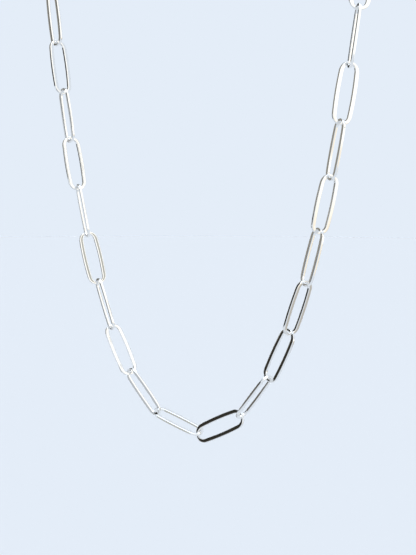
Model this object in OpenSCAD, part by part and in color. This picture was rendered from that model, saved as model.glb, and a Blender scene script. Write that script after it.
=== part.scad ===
// Necklace of paperclip links with flattened sides, 45 cm round, in the form in which it hangs.
// Millimetres, +Z up, the front of the chain towards -Y, +X to the right as seen from the front.
// The origin is where the chain bears on the nape of the neck.

/* [Links] */
// Outer length of a link
link_length = 12.4; // [11.5:0.1:13.5]
// Outer width of a link at its middle
link_width = 4.65; // [4.4:0.05:5.2]
// Width of the wire at a link's two tips
wire_width = 0.6; // [0.55:0.05:0.7]
// Width of the flattened wire along a link's sides
side_width = 0.85; // [0.75:0.05:0.95]
// Thickness of the wire
wire_thick = 0.55; // [0.45:0.05:0.65]
// Radius on the long edges of the wire
edge_radius = 0.09; // [0.05:0.01:0.12]

/* [Hang] */
// Links on each side of the joint at the bottom
side_links = 20; // [18:1:20]
// Room left between two linked wires
joint_gap = 0.18; // [0.18:0.01:0.24]
// Sideways pull over the weight of one link; a larger number hangs wider
hang_ratio = 1.134; // [1:0.01:1.3]
// Part of a link by which the bottom joint lies to the right of the lowest point
hang_shift = 0.098; // [0:0.01:0.4]
// Links on each side that hang in the flat front plane
front_links = 10.3; // [9:0.1:11]
// Links over which each side turns back to the neck
turn_links = 2.2; // [1.8:0.1:3]
// Slope of the loop round the neck, rising to the nape
collar_tilt = 30; // [15:1:40]

/* [Clasp] */
// Outer length of the clasp
clasp_length = 12.2; // [11:0.1:15]
// Outer width of the clasp's loop
clasp_width = 5; // [4.4:0.1:6]
// Wire diameter of the clasp's loop
clasp_wire = 1.2; // [1:0.05:1.4]
// Outer diameter of the clasp's eye
eye_diameter = 3.6; // [3.4:0.1:4.2]
// Wire diameter of the clasp's eye
eye_wire = 0.9; // [0.8:0.05:1]

/* [Hidden] */
// A link's outline and its opening: two half circles each, joined by two straight sides.
outer_radius = link_width/2;
outer_length = link_length - link_width;
inner_radius = outer_radius - side_width;
inner_length = link_length - 2*wire_width - 2*inner_radius;

// The metal is drawn in two bands, one along the outline and one along the opening. They overlap
// in the sides, and at a tip each ends before the other's rounded edge.
band_width = (side_width/2 + wire_width - edge_radius)/2;

// The wire's centre line at a tip, about the centre of the opening's end.
end_radius = inner_radius + wire_width/2;

pitch = link_length - 2*wire_width - joint_gap;
clasp_span = clasp_length - clasp_wire - eye_wire - joint_gap;
link_count = 2*side_links;
half_loop = side_links + clasp_span/(2*pitch);
collar_start = front_links + turn_links;

// Roll of each link about its own length, read from the photo for the links that it shows.
// Degrees from the front plane towards the back. Columns: link number, roll.
seen_rolls = [
    [11, -25], [12, 68], [13, -32], [14, 60], [15, -46], [16, 52], [17, -42], [18, 62], [19, -27],
    [20, 81], [21, -21], [22, 76], [23, -30], [24, 62], [25, -42], [26, 52], [27, -50], [28, 44],
    [29, -66], [30, 34]
];
first_seen = seen_rolls[0][0];
last_seen = first_seen + len(seen_rolls) - 1;
// Rolls of the links that the photo does not show.
even_roll = 44;
odd_roll = -42;

bend_steps = 48;
wire_steps = 24;
solve_steps = 24;

function unit(v) = v/norm(v);

// Direction on the way from unit vector a to unit vector b, at the share t of the angle between.
function swing(a, b, t) =
    let (angle = acos(a*b)) (sin((1 - t)*angle)*a + sin(t*angle)*b)/sin(angle);

// Direction in the sloping plane round the neck; 0 points right, 90 back, 180 left.
function collar_dir(heading) =
    [cos(heading), sin(heading)*cos(collar_tilt), sin(heading)*sin(collar_tilt)];

function hang_dir(s) = unit([hang_ratio, 0, s]);

// Direction of the chain at s links up the right side from the lowest point.
// flare is the heading with which the side sets out round the neck.
function rising_dir(s, flare) =
    s <= front_links ? hang_dir(s)
    : s <= collar_start
    ? swing(hang_dir(front_links), collar_dir(flare), (s - front_links)/turn_links)
    : collar_dir(flare + (180 - flare)*(s - collar_start)/(half_loop - collar_start));

// The same for the whole loop, left to right; s is negative on the left.
function loop_dir(s, flare) =
    let (d = rising_dir(abs(s), flare)) s < 0 ? [d.x, -d.y, -d.z] : d;

// Frame of link i: its length direction, pointing left to right along the chain, the direction
// across its width, and the direction that its face looks in.
function link_s(i) = i - side_links - 0.5 + hang_shift;
function along(i, flare) = loop_dir(link_s(i), flare);
function roll_of(i) =
    i >= first_seen && i <= last_seen ? seen_rolls[i - first_seen][1]
    : i % 2 == 0 ? even_roll : odd_roll;
function rolled(up, ref, roll) =
    let (back = unit(ref - (ref*up)*up)) cross(back, up)*cos(roll) + back*sin(roll);
function across(i, flare) =
    rolled(
        along(i, flare)*(i > side_links ? 1 : -1),
        abs(link_s(i)) <= front_links ? [0, 1, 0] : [0, 1, -1],
        roll_of(i)
    );
function facing(i, flare) = cross(along(i, flare), across(i, flare));

// Pull at the joint between link i and link i + 1.
function pull(i, flare) = unit(along(i, flare) + along(i + 1, flare));

// Half the wire's extent along a pull that leaves the link's plane by an angle of the given sine.
function wire_reach(out) =
    edge_radius + (wire_width/2 - edge_radius)*sqrt(1 - out^2)
    + (wire_thick/2 - edge_radius)*abs(out);

// From the centre of the opening's end in link i to the joint there, when the wire bears on the link's
// neighbour along the pull t.
function seat(i, t, flare) =
    let (out = t*facing(i, flare))
    end_radius*unit(t - out*facing(i, flare)) - t*(wire_reach(out) + joint_gap/2);

// From the joint at the start of link i to its middle, and to the joint at its end.
function to_middle(i, flare) = seat(i, pull(i - 1, flare), flare) + along(i, flare)*inner_length/2;
function to_end(i, flare) =
    to_middle(i, flare) + along(i, flare)*inner_length/2 + seat(i, pull(i, flare), flare);

// Joints round the loop from the clasp's one end to its other.
function joints(flare) = [
    for (i = 0, p = [0, 0, 0]; i <= link_count; i = i + 1, p = p + to_end(i, flare)) p
];

// Heading that closes the loop, found by halving between two headings.
function closing_flare(low, high, steps) =
    let (middle = (low + high)/2, ends = joints(middle))
    steps == 0 ? middle
    : ends[link_count].x - ends[0].x > clasp_span ? closing_flare(middle, high, steps - 1)
    : closing_flare(low, middle, steps - 1);

flare = closing_flare(20, 100, solve_steps);
loop = joints(flare);
nape_left = loop[0];
nape_right = loop[link_count];
nape = (nape_right + nape_left)/2 - collar_dir(90)*clasp_wire/2;

function node_name(i) = str("link_", i < 10 ? "0" : "", i);

// Stands its children on a frame: X along the length, Y along the width, about the nape.
module stand(middle, along, across) {
    face = cross(along, across);
    multmatrix([
        [along.x, across.x, face.x, middle.x - nape.x],
        [along.y, across.y, face.y, middle.y - nape.y],
        [along.z, across.z, face.z, middle.z - nape.z],
        [0, 0, 0, 1]
    ])
        children();
}

// Section of a band whose rounded edge is at x = 0; the metal lies on the side that way points to.
module band_section(way) {
    wide = band_width - edge_radius;
    translate([way*(edge_radius + wide/2), 0])
        square([wide, wire_thick], center = true);
    translate([way*band_width/2, 0])
        square([band_width, wire_thick - 2*edge_radius], center = true);
    for (y = [-1, 1])
        translate([way*edge_radius, y*(wire_thick/2 - edge_radius)])
            circle(r = edge_radius, $fn = wire_steps);
}

// Half of a band, for a rounded edge that runs straight and then round a half circle.
module half_band(straight, radius, way) {
    translate([straight/2, 0, 0])
        rotate([0, 0, -90])
            rotate_extrude(angle = 180, $fn = bend_steps)
                translate([radius, 0])
                    band_section(way);
    translate([0, radius, 0])
        rotate([90, 0, 90])
            linear_extrude(straight, center = true)
                band_section(way);
}

module oval_link() {
    for (turn = [0, 180])
        rotate([0, 0, turn]) {
            half_band(outer_length, outer_radius, -1);
            half_band(inner_length, inner_radius, 1);
        }
}

module round_bend(radius, wire, angle) {
    rotate([0, 0, -90])
        rotate_extrude(angle = angle, $fn = bend_steps)
            translate([radius, 0])
                circle(d = wire, $fn = wire_steps);
}

// Plain clasp along X: a long loop of round wire, closed, with a small eye at its -X end.
module clasp_shape() {
    bend_radius = (clasp_width - clasp_wire)/2;
    loop_far = clasp_length/2 - clasp_width/2;
    eye_radius = (eye_diameter - eye_wire)/2;
    eye_x = -clasp_length/2 + eye_diameter/2;
    loop_near = eye_x + eye_radius + bend_radius;
    translate([loop_far, 0, 0])
        round_bend(bend_radius, clasp_wire, 180);
    translate([loop_near, 0, 0])
        rotate([0, 0, 180])
            round_bend(bend_radius, clasp_wire, 180);
    for (side = [-1, 1])
        translate([loop_near, side*bend_radius, 0])
            rotate([0, 90, 0])
                cylinder(h = loop_far - loop_near, d = clasp_wire, $fn = wire_steps);
    translate([eye_x, 0, 0])
        round_bend(eye_radius, eye_wire, 360);
}

module link(i) {
    color("silver")
        stand(loop[i - 1] + to_middle(i, flare), along(i, flare), across(i, flare))
            oval_link();
}

module clasp() {
    way = unit(nape_left - nape_right);
    shift = (eye_wire - clasp_wire)/2;
    color("gainsboro")
        stand(
            (nape_left + nape_right)/2 - shift*way,
            way,
            rolled(way, [0, 1, -1], even_roll + 90)
        )
            clasp_shape();
}

for (i = [1:link_count])
    link(i);
clasp();
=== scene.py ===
import math

import bmesh
import bpy
import numpy as np
from mathutils import Matrix, Quaternion, Vector


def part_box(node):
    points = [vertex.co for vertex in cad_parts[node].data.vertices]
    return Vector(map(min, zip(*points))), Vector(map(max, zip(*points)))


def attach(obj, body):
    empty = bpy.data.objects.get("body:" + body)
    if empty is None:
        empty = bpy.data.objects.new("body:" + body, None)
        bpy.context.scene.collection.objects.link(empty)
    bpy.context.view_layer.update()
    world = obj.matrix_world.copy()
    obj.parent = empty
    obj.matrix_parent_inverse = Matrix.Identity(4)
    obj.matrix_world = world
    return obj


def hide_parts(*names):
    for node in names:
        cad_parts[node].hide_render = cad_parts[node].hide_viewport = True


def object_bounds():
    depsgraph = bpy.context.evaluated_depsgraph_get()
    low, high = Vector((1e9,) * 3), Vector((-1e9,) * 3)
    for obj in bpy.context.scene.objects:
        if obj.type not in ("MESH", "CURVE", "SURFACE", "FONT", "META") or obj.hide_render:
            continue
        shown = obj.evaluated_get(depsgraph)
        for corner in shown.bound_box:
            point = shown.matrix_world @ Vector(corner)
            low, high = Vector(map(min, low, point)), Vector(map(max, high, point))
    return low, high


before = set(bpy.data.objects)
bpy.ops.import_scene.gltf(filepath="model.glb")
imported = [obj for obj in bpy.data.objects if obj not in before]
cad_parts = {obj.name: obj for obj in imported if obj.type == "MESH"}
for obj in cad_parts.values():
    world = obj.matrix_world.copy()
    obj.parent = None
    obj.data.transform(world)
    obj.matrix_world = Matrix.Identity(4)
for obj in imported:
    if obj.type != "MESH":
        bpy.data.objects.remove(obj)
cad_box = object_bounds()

MM = 0.001

# A link's sizes, in metres: the wire is widest along the sides and slimmest at the tips
LINK_LENGTH = 12.4 * MM
LINK_WIDTH = 4.65 * MM
WIRE_WIDTH = 0.6 * MM
SIDE_WIDTH = 0.85 * MM
WIRE_THICK = 0.55 * MM
WIRE_EDGE = 0.09 * MM
# By how much each side bulges outwards
SIDE_BOW = 0.15 * MM
# Steps along half a side, along a quarter bend, round the wire's edges and across its flats
SIDE_STEPS = 4
BEND_STEPS = 14
EDGE_STEPS = 3
FLAT_CUTS = 2
# From this step of the bend on, each section is rounded off, then trimmed to keep its size
ROUND_FROM = 6
BEND_ROUNDING = 0.12
BEND_TRIM = 0.9925

# The clasp's sizes and steps
CLASP_LENGTH = 12.2 * MM
CLASP_WIDTH = 5 * MM
CLASP_WIRE = 1.2 * MM
EYE_DIAMETER = 3.6 * MM
EYE_WIRE = 0.9 * MM
ROUND_STEPS = 24
CLASP_BEND_STEPS = 32
EYE_STEPS = 56

# The silver: its tint where it is dullest, the spread of its roughness, and the fineness of its
# patches of polish and of its rub marks
DULL_TINT = 0.93
POLISH_SPREAD = 0.4
POLISH_SCALE = 700
RUB_SCALE = 2500
RUB_DEPTH = 0.01 * MM

# Points nearer than this are one, and edges flatter than this are shaded smooth
MERGE_DISTANCE = 0.002 * MM
SMOOTH_ANGLE = math.radians(50)

LINKS = sorted(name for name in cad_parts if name.startswith("link_"))

# The photo's camera: where it looks, how far it stands and how it is turned
CAMERA_TARGET = Vector((4.11, -63.1, -116.58)) * MM
CAMERA_DISTANCE = 172.6 * MM
CAMERA_AZIMUTH = math.radians(23.4)
CAMERA_ELEVATION = math.radians(6.07)
CAMERA_ROLL = math.radians(0.16)
PHOTO_HEIGHT = 555
FOCAL_PIXELS = 800
SENSOR = 36

# The floor: its depth below the chain, its radius and its colour
FLOOR_DROP = 0.12
FLOOR_RADIUS = 3
FLOOR_STEPS = 96
FLOOR_COLOUR = (0.747, 0.756, 0.764)

# What the silver mirrors: a pale room, a bright window on the right and dark things on the left
PALE = (0.776, 0.847, 0.939)
CEILING = (2.55, 2.85, 3.3)
GREY = (0.5, 0.53, 0.57)
DARK = (0.3, 0.29, 0.26)
SHADE = (0.15, 0.145, 0.13)
BLACK = (0.03, 0.029, 0.024)
ASH = (0.48, 0.49, 0.46)
TAN = (0.54, 0.52, 0.48)
WHITE = (1.35, 1.33, 1.27)
CREAM = (1.08, 0.99, 0.83)
# Soft-edged panels in that room, each laid over the ones before it, in degrees; azimuth 0 is the
# front and 90 the right. Columns: colour, azimuths, elevations, width of the soft edge.
PANELS = [
    (CEILING, (-200, 200), (62, 100), 20),
    (GREY, (-140, -62), (-46, -28), 6),
    (ASH, (-50, -22), (-42, -22), 4),
    (SHADE, (-121, -100), (-20, 0), 4),
    (DARK, (-140, -88), (2, 70), 6),
    (BLACK, (-162, -136), (2, 35), 6),
    (BLACK, (-94, -52), (-7, 65), 4),
    (DARK, (-92, -79), (6, 24), 3),
    (SHADE, (-60, -30), (-6, 10), 6),
    (BLACK, (-60, -30), (7, 60), 6),
    (TAN, (102, 138), (-34, -14), 8),
    (CREAM, (77, 106), (-28, -12), 4),
    (WHITE, (78, 110), (-15.5, 0), 4),
    (CREAM, (56, 74), (-15, 0), 4),
    (WHITE, (24, 99), (-6, 60), 6),
    (ASH, (66.5, 80), (12, 21), 4),
]


def deselect():
    bpy.ops.object.select_all(action="DESELECT")


def pick(piece):
    """Selects a piece alone, for the operators that follow."""
    deselect()
    piece.select_set(True)
    bpy.context.view_layer.objects.active = piece


def edit_mode():
    bpy.ops.object.mode_set(mode="EDIT")
    bpy.ops.mesh.select_mode(type="VERT")


def object_mode():
    bpy.ops.object.mode_set(mode="OBJECT")


def apply_place(piece):
    pick(piece)
    bpy.ops.object.transform_apply(location=True, rotation=True, scale=True)


# Where the links and the clasp lie

def lie_of(node):
    """Middle, length direction and width direction of a CAD node's solid, from its surface."""
    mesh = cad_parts[node].data
    points = np.array([v.co for v in mesh.vertices])
    faces = np.array([p.vertices[:] for p in mesh.polygons])
    corners = [points[faces[:, k]] for k in range(3)]
    area = np.linalg.norm(np.cross(corners[1] - corners[0], corners[2] - corners[0]), axis=1)
    centroids = sum(corners) / 3
    centre = (centroids * area[:, None]).sum(0) / area.sum()
    spread = np.zeros((3, 3))
    for offsets, weight in [(c - centre, 1) for c in corners] + [(centroids - centre, 9)]:
        spread += weight * np.einsum("n,ni,nj->ij", area, offsets, offsets)
    _, directions = np.linalg.eigh(spread)
    length, width = directions[:, 2], directions[:, 1]
    middle = np.zeros(3)
    for direction in directions.T:
        reach = points @ direction
        middle += direction * (reach.min() + reach.max()) / 2
    return Vector(middle), Vector(length), Vector(width)


def stand(piece, middle, length, width):
    """Puts a piece that was modelled along X, its width along Y, where a node's solid lies."""
    facing = length.cross(width)
    turn = Matrix((length, width, facing)).transposed()
    piece.matrix_world = Matrix.Translation(middle) @ turn.to_4x4()
    apply_place(piece)


# Links of flat wire

def turn_wire(angle, centre, steps):
    """Carries the selected section of wire round a centre, clockwise as seen from above."""
    bpy.ops.mesh.spin(steps=steps, angle=angle, center=centre, axis=(0, 0, 1))


def draw_wire(shift):
    bpy.ops.mesh.extrude_region_move(TRANSFORM_OT_translate={"value": shift})


def resize_wire(width_share, thick_share):
    """Makes the selected upright section of wire wider or thicker about its own middle."""
    corners = bmesh.from_edit_mesh(bpy.context.object.data).verts
    chosen = [corner.co.copy() for corner in corners if corner.select]
    middle = sum(chosen, Vector()) / len(chosen)
    bpy.ops.transform.resize(
        value=(width_share, width_share, thick_share), center_override=middle
    )


def split_flats():
    """Puts more corners along the flats of a wire's section, for the bends to round."""
    mesh = bmesh.from_edit_mesh(bpy.context.object.data)
    bpy.ops.mesh.select_all(action="DESELECT")
    bpy.ops.mesh.select_mode(type="EDGE")
    for edge in mesh.edges:
        edge.select_set(edge.calc_length() > 2 * WIRE_EDGE)
    bpy.ops.mesh.subdivide(number_cuts=FLAT_CUTS)
    bpy.ops.mesh.select_mode(type="VERT")


def drop_ends():
    """Takes out the end faces of a length of wire and leaves edit mode."""
    object_mode()
    mesh = bpy.context.object.data
    for face in mesh.polygons:
        face.select = len(face.vertices) > 4
    bpy.ops.object.mode_set(mode="EDIT")
    bpy.ops.mesh.select_mode(type="FACE")
    bpy.ops.mesh.delete(type="ONLY_FACE")
    object_mode()


def join_wire():
    """Merges the points that meet, and turns all faces outwards."""
    edit_mode()
    bpy.ops.mesh.select_all(action="SELECT")
    bpy.ops.mesh.remove_doubles(threshold=MERGE_DISTANCE)
    bpy.ops.mesh.normals_make_consistent(inside=False)
    object_mode()


def bend_width(angle):
    """Width of the wire in a bend, at an angle past the end of the side."""
    return SIDE_WIDTH - (SIDE_WIDTH - WIRE_WIDTH) * math.sin(angle)


def model_link(name):
    """One link: a quarter of the oval is drawn from a side's middle to the tip, then mirrored."""
    half_width = (LINK_WIDTH - SIDE_WIDTH) / 2
    end_radius = half_width - SIDE_BOW
    end_x = (LINK_LENGTH - WIRE_WIDTH) / 2 - end_radius
    side_radius = (half_width ** 2 + end_x ** 2 - end_radius ** 2) / (2 * SIDE_BOW)
    bow_angle = math.asin(end_x / (side_radius - end_radius))

    deselect()
    bpy.ops.mesh.primitive_plane_add(
        size=1, location=(0, half_width, 0), rotation=(0, math.pi / 2, 0)
    )
    link = bpy.context.object
    link.name = link.data.name = name
    link.scale = (WIRE_THICK, SIDE_WIDTH, 1)
    apply_place(link)
    edit_mode()
    bpy.ops.mesh.select_all(action="SELECT")
    bpy.ops.mesh.bevel(offset=WIRE_EDGE, segments=EDGE_STEPS, affect="VERTICES")
    split_flats()
    bpy.ops.mesh.select_all(action="SELECT")
    turn_wire(bow_angle, (0, half_width - side_radius, 0), SIDE_STEPS)
    turn = (math.pi / 2 - bow_angle) / BEND_STEPS
    for step in range(BEND_STEPS):
        turn_wire(turn, (end_x, 0, 0), 1)
        resize_wire(bend_width((step + 1) * turn) / bend_width(step * turn), 1)
        if step >= ROUND_FROM:
            bpy.ops.transform.tosphere(value=BEND_ROUNDING)
            resize_wire(BEND_TRIM, BEND_TRIM)
    drop_ends()

    mirror = link.modifiers.new("halves", "MIRROR")
    mirror.use_axis = (True, True, False)
    mirror.merge_threshold = MERGE_DISTANCE
    bpy.ops.object.modifier_apply(modifier="halves")
    join_wire()
    finish_metal(link)
    return link


def finish_metal(piece):
    """Smooth rounded edges beside flats that stay flat."""
    pick(piece)
    bpy.ops.object.shade_smooth_by_angle(angle=SMOOTH_ANGLE)
    piece.modifiers.new("flats", "WEIGHTED_NORMAL").keep_sharp = True
    bpy.ops.object.modifier_apply(modifier="flats")


# Clasp

def round_section(at, diameter):
    """A disc of wire section that looks along X, ready to be drawn out."""
    deselect()
    bpy.ops.mesh.primitive_circle_add(
        vertices=ROUND_STEPS, radius=diameter / 2, fill_type="NGON",
        location=at, rotation=(0, math.pi / 2, 0)
    )
    section = bpy.context.object
    apply_place(section)
    edit_mode()
    bpy.ops.mesh.select_all(action="SELECT")
    return section


def model_clasp(name):
    """The closed clasp, a long loop of round wire with a small eye at its -X end."""
    bend_radius = (CLASP_WIDTH - CLASP_WIRE) / 2
    far_x = (CLASP_LENGTH - CLASP_WIDTH) / 2
    eye_radius = (EYE_DIAMETER - EYE_WIRE) / 2
    eye_x = (EYE_DIAMETER - CLASP_LENGTH) / 2
    near_x = eye_x + eye_radius + bend_radius

    clasp = round_section((near_x, bend_radius, 0), CLASP_WIRE)
    clasp.name = clasp.data.name = name
    draw_wire((far_x - near_x, 0, 0))
    turn_wire(math.pi, (far_x, 0, 0), CLASP_BEND_STEPS)
    draw_wire((near_x - far_x, 0, 0))
    turn_wire(math.pi, (near_x, 0, 0), CLASP_BEND_STEPS)
    drop_ends()
    join_wire()

    deselect()
    bpy.ops.mesh.primitive_torus_add(
        major_radius=eye_radius, minor_radius=EYE_WIRE / 2,
        major_segments=EYE_STEPS, minor_segments=ROUND_STEPS, location=(eye_x, 0, 0)
    )
    eye = bpy.context.object
    apply_place(eye)
    pick(clasp)
    weld = clasp.modifiers.new("solder", "BOOLEAN")
    weld.operation = "UNION"
    weld.solver = "EXACT"
    weld.object = eye
    bpy.ops.object.modifier_apply(modifier="solder")
    bpy.data.objects.remove(eye)
    join_wire()
    finish_metal(clasp)
    return clasp


# Materials

def colour_mix(nodes):
    """A new mix of two colours: its share, first colour, second colour and result."""
    mix = nodes.new("ShaderNodeMix")
    mix.data_type = "RGBA"
    return mix.inputs[0], mix.inputs[6], mix.inputs[7], mix.outputs[2]


def polished_silver(name, tint, roughness):
    """Polished silver with fine hand-rubbed lines and a slightly uneven polish."""
    material = bpy.data.materials.new(name)
    material.use_nodes = True
    nodes, wires = material.node_tree.nodes, material.node_tree.links
    shader = nodes["Principled BSDF"]
    shader.inputs["Metallic"].default_value = 1

    place = nodes.new("ShaderNodeTexCoord")
    polish = nodes.new("ShaderNodeTexNoise")
    polish.inputs["Scale"].default_value = POLISH_SCALE
    polish.inputs["Detail"].default_value = 3
    wires.new(place.outputs["Object"], polish.inputs["Vector"])

    share, dull, bright, mixed = colour_mix(nodes)
    dull.default_value = (*[part * DULL_TINT for part in tint], 1)
    bright.default_value = (*tint, 1)
    wires.new(polish.outputs["Fac"], share)
    wires.new(mixed, shader.inputs["Base Color"])

    gloss = nodes.new("ShaderNodeMapRange")
    gloss.inputs["To Min"].default_value = roughness * (1 - POLISH_SPREAD)
    gloss.inputs["To Max"].default_value = roughness * (1 + POLISH_SPREAD)
    wires.new(polish.outputs["Fac"], gloss.inputs["Value"])
    wires.new(gloss.outputs["Result"], shader.inputs["Roughness"])

    rub = nodes.new("ShaderNodeTexNoise")
    rub.inputs["Scale"].default_value = RUB_SCALE
    rub.inputs["Detail"].default_value = 2
    wires.new(place.outputs["Object"], rub.inputs["Vector"])
    bump = nodes.new("ShaderNodeBump")
    bump.inputs["Strength"].default_value = 0.1
    bump.inputs["Distance"].default_value = RUB_DEPTH
    wires.new(rub.outputs["Fac"], bump.inputs["Height"])
    wires.new(bump.outputs["Normal"], shader.inputs["Normal"])
    return material


def plain_paint(name, colour):
    """Fully matt paint."""
    material = bpy.data.materials.new(name)
    material.use_nodes = True
    shader = material.node_tree.nodes["Principled BSDF"]
    shader.inputs["Base Color"].default_value = (*colour, 1)
    shader.inputs["Roughness"].default_value = 1
    shader.inputs["Specular IOR Level"].default_value = 0
    return material


# The chain

link_silver = polished_silver("link_silver", (0.93, 0.92, 0.9), 0.09)
clasp_silver = polished_silver("clasp_silver", (0.9, 0.89, 0.87), 0.12)

pattern = model_link("link_pattern")
pattern.data.materials.append(link_silver)
for node in LINKS:
    link = bpy.data.objects.new(node + "_wire", pattern.data.copy())
    bpy.context.scene.collection.objects.link(link)
    stand(link, *lie_of(node))
    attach(link, "root")
    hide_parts(node)
bpy.data.objects.remove(pattern)

clasp = model_clasp("clasp_wire")
clasp.data.materials.append(clasp_silver)
middle, length, width = lie_of("clasp")
towards_first = (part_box("link_01")[0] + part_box("link_01")[1]) / 2 - middle
if length.dot(towards_first) < 0:
    length = -length
stand(clasp, middle, length, width)
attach(clasp, "root")
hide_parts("clasp")


# Camera

def direction(azimuth, elevation):
    """Unit vector from the chain towards a place round it; 0 is the front and 90 the right."""
    return Vector((
        math.sin(azimuth) * math.cos(elevation),
        -math.cos(azimuth) * math.cos(elevation),
        math.sin(elevation),
    ))


back = direction(CAMERA_AZIMUTH, CAMERA_ELEVATION)
camera_data = bpy.data.cameras.new("camera")
camera = bpy.data.objects.new("camera", camera_data)
bpy.context.scene.collection.objects.link(camera)
camera.location = CAMERA_TARGET + back * CAMERA_DISTANCE
camera.rotation_mode = "QUATERNION"
camera.rotation_quaternion = Quaternion(back, CAMERA_ROLL) @ (-back).to_track_quat("-Z", "Y")
camera_data.sensor_width = SENSOR
camera_data.lens = SENSOR * FOCAL_PIXELS / PHOTO_HEIGHT
camera_data.clip_start = 1 * MM
bpy.context.scene.camera = camera


# Studio

bpy.context.scene.view_settings.view_transform = "Standard"
world = bpy.data.worlds.new("studio")
bpy.context.scene.world = world
world.use_nodes = True
sky_nodes, sky_wires = world.node_tree.nodes, world.node_tree.links


def sky_math(operation, *values):
    node = sky_nodes.new("ShaderNodeMath")
    node.operation = operation
    for socket, value in zip(node.inputs, values):
        if isinstance(value, (int, float)):
            socket.default_value = value
        else:
            sky_wires.new(value, socket)
    return node.outputs[0]


def rise(angle, low, soft):
    """0 below the angle low and 1 above it, over a soft edge, all in degrees."""
    step = sky_nodes.new("ShaderNodeMapRange")
    step.interpolation_type = "SMOOTHSTEP"
    step.inputs["From Min"].default_value = low - soft / 2
    step.inputs["From Max"].default_value = low + soft / 2
    sky_wires.new(angle, step.inputs["Value"])
    return step.outputs["Result"]


def panel(under, colour, azimuths, elevations, soft):
    """Lays a soft-edged panel of light or shade over the surroundings."""
    share = 1
    for angle, (low, high) in ((azimuth, azimuths), (elevation, elevations)):
        share = sky_math("MULTIPLY", share, rise(angle, low, soft))
        share = sky_math("MULTIPLY", share, sky_math("SUBTRACT", 1, rise(angle, high, soft)))
    covered, below, above, mixed = colour_mix(sky_nodes)
    above.default_value = (*colour, 1)
    sky_wires.new(share, covered)
    sky_wires.new(under, below)
    return mixed


around = sky_nodes.new("ShaderNodeTexCoord")
parts = sky_nodes.new("ShaderNodeSeparateXYZ")
sky_wires.new(around.outputs["Generated"], parts.inputs[0])
azimuth = sky_math(
    "DEGREES",
    sky_math("ARCTAN2", parts.outputs["X"], sky_math("MULTIPLY", parts.outputs["Y"], -1)),
)
elevation = sky_math("DEGREES", sky_math("ARCSINE", parts.outputs["Z"]))

base = sky_nodes.new("ShaderNodeRGB")
base.outputs[0].default_value = (*PALE, 1)
room = base.outputs[0]
for colour, azimuths, elevations, soft in PANELS:
    room = panel(room, colour, azimuths, elevations, soft)
lit = sky_nodes["Background"]
sky_wires.new(room, lit.inputs["Color"])
seen = sky_nodes.new("ShaderNodeBackground")
seen.inputs["Color"].default_value = (*PALE, 1)
rays = sky_nodes.new("ShaderNodeLightPath")
chosen = sky_nodes.new("ShaderNodeMixShader")
sky_wires.new(rays.outputs["Is Camera Ray"], chosen.inputs[0])
sky_wires.new(lit.outputs[0], chosen.inputs[1])
sky_wires.new(seen.outputs[0], chosen.inputs[2])
sky_wires.new(chosen.outputs[0], sky_nodes["World Output"].inputs["Surface"])

deselect()
bpy.ops.mesh.primitive_circle_add(
    vertices=FLOOR_STEPS, radius=FLOOR_RADIUS, fill_type="NGON",
    location=(0, 0, cad_box[0].z - FLOOR_DROP)
)
floor = bpy.context.object
floor.name = "floor"
floor.data.materials.append(plain_paint("floor_paint", FLOOR_COLOUR))
floor.visible_glossy = False
